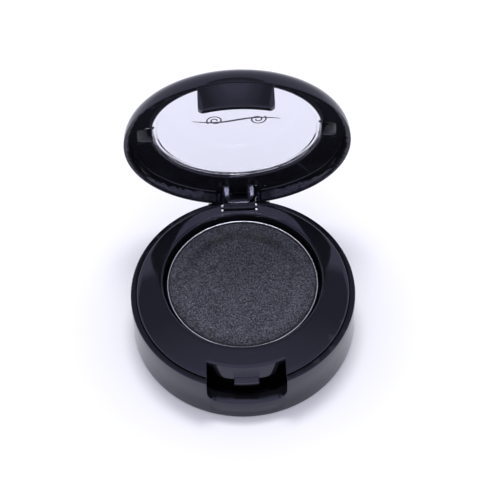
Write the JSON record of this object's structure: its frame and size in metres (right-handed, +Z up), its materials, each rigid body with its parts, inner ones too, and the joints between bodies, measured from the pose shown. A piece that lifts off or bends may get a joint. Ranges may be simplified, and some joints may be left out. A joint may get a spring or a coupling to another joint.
{
  "type": "eyeshadow compact",
  "caption": "Round black pocket compact: a shallow pan of dark eyeshadow in a plastic base under a hinged lid with a clear window and a latch tab.",
  "frame": {"origin": "centre of the round base's underside, on the surface that it stands on", "axes": "+Z up, -Y towards the finger notch at the front, +Y towards the hinge, +X to the right of someone facing the notch"},
  "size_m": [0.0384, 0.0422, 0.0464],
  "materials": {
    "base_plastic": "polished black",
    "insert_plastic": "polished black",
    "pan_metal": "bright",
    "adhesive": "dull",
    "powder": "pressed powder with fine shimmer",
    "label": "satin",
    "pin_steel": "drawn",
    "lid_plastic": "polished black",
    "window_plastic": "clear"
  },
  "bodies": {
    "base": {"base_shell": "base_plastic", "insert_tray": "insert_plastic", "pan": "pan_metal", "pan_adhesive": "adhesive", "eyeshadow_cake": "powder", "bottom_label": "label", "hinge_pin": "pin_steel"},
    "lid": {"lid_shell": "lid_plastic", "lid_window": "window_plastic"}
  },
  "joints": [
    {"name": "lid_hinge", "type": "hinge", "parent": "base", "child": "lid", "pos_m": [0, 0.0184, 0.0088], "axis": [1, 0, 0], "range_deg": [0, 86]}
  ]
}
